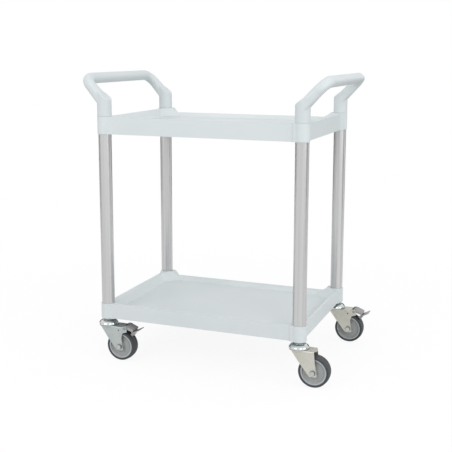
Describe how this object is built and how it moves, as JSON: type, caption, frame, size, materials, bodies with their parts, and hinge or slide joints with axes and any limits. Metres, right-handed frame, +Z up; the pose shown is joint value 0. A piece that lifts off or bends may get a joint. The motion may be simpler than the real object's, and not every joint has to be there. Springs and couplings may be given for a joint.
{
  "type": "serving trolley",
  "caption": "Two-shelf serving trolley: moulded trays on round posts, a push handle at each end and swivel casters, two of them braked.",
  "frame": {"origin": "on the floor, midway between the four posts", "axes": "+X along the trolley's length towards its right-hand handle, +Y to the rear, +Z up"},
  "size_m": [0.7849, 0.475, 0.8545],
  "materials": {
    "tray_plastic": "moulded, satin with a fine grain",
    "handle_plastic": "moulded, smooth satin",
    "plug_plastic": "moulded",
    "aluminium": "drawn and satin anodised",
    "bright_zinc": "bright zinc plated",
    "zinc_sheet": "pressed sheet, dull zinc plated",
    "pedal_steel": "stamped sheet, zinc plated",
    "steel": "zinc plated",
    "core_plastic": "moulded",
    "tyre": "moulded thermoplastic rubber"
  },
  "bodies": {
    "frame": {"top_tray": "tray_plastic", "bottom_tray": "tray_plastic", "handle_left": "handle_plastic", "handle_right": "handle_plastic", "stem_plugs": "plug_plastic", "post_front_left": "aluminium", "swivel_cup_front_left": "bright_zinc", "king_pin_front_left": "steel", "post_front_right": "aluminium", "swivel_cup_front_right": "bright_zinc", "king_pin_front_right": "steel", "post_rear_left": "aluminium", "swivel_cup_rear_left": "bright_zinc", "king_pin_rear_left": "steel", "post_rear_right": "aluminium", "swivel_cup_rear_right": "bright_zinc", "king_pin_rear_right": "steel"},
    "wheel_front_left": {"wheel_core_front_left": "core_plastic", "tread_front_left": "tyre"},
    "brake_front_left": {"brake_pedal_front_left": "pedal_steel", "brake_shoe_front_left": "pedal_steel"},
    "caster_front_left": {"fork_front_left": "zinc_sheet", "axle_bolt_front_left": "steel", "axle_nut_front_left": "steel", "axle_bush_front_left": "steel", "brake_pin_front_left": "steel"},
    "wheel_front_right": {"wheel_core_front_right": "core_plastic", "tread_front_right": "tyre"},
    "caster_front_right": {"fork_front_right": "zinc_sheet", "axle_bolt_front_right": "steel", "axle_nut_front_right": "steel", "axle_bush_front_right": "steel"},
    "wheel_rear_left": {"wheel_core_rear_left": "core_plastic", "tread_rear_left": "tyre"},
    "caster_rear_left": {"fork_rear_left": "zinc_sheet", "axle_bolt_rear_left": "steel", "axle_nut_rear_left": "steel", "axle_bush_rear_left": "steel"},
    "wheel_rear_right": {"wheel_core_rear_right": "core_plastic", "tread_rear_right": "tyre"},
    "brake_rear_right": {"brake_pedal_rear_right": "pedal_steel", "brake_shoe_rear_right": "pedal_steel"},
    "caster_rear_right": {"fork_rear_right": "zinc_sheet", "axle_bolt_rear_right": "steel", "axle_nut_rear_right": "steel", "axle_bush_rear_right": "steel", "brake_pin_rear_right": "steel"}
  },
  "joints": [
    {"name": "swivel_front_left", "type": "hinge", "parent": "frame", "child": "caster_front_left", "pos_m": [-0.2985, -0.208, 0.106], "axis": [0, 0, 1], "continuous": true},
    {"name": "roll_front_left", "type": "hinge", "parent": "caster_front_left", "child": "wheel_front_left", "pos_m": [-0.2525, -0.208, 0.045], "axis": [0, 1, 0], "continuous": true},
    {"name": "brake_front_left", "type": "hinge", "parent": "caster_front_left", "child": "brake_front_left", "pos_m": [-0.23546, -0.208, 0.10253], "axis": [0, 1, 0], "range_deg": [0, 6]},
    {"name": "swivel_front_right", "type": "hinge", "parent": "frame", "child": "caster_front_right", "pos_m": [0.2985, -0.208, 0.106], "axis": [0, 0, 1], "continuous": true},
    {"name": "roll_front_right", "type": "hinge", "parent": "caster_front_right", "child": "wheel_front_right", "pos_m": [0.3445, -0.208, 0.045], "axis": [0, 1, 0], "continuous": true},
    {"name": "swivel_rear_left", "type": "hinge", "parent": "frame", "child": "caster_rear_left", "pos_m": [-0.2985, 0.208, 0.106], "axis": [0, 0, 1], "continuous": true},
    {"name": "roll_rear_left", "type": "hinge", "parent": "caster_rear_left", "child": "wheel_rear_left", "pos_m": [-0.2525, 0.208, 0.045], "axis": [0, 1, 0], "continuous": true},
    {"name": "swivel_rear_right", "type": "hinge", "parent": "frame", "child": "caster_rear_right", "pos_m": [0.2985, 0.208, 0.106], "axis": [0, 0, 1], "continuous": true},
    {"name": "roll_rear_right", "type": "hinge", "parent": "caster_rear_right", "child": "wheel_rear_right", "pos_m": [0.3445, 0.208, 0.045], "axis": [0, 1, 0], "continuous": true},
    {"name": "brake_rear_right", "type": "hinge", "parent": "caster_rear_right", "child": "brake_rear_right", "pos_m": [0.36154, 0.208, 0.10253], "axis": [0, 1, 0], "range_deg": [0, 6]}
  ]
}
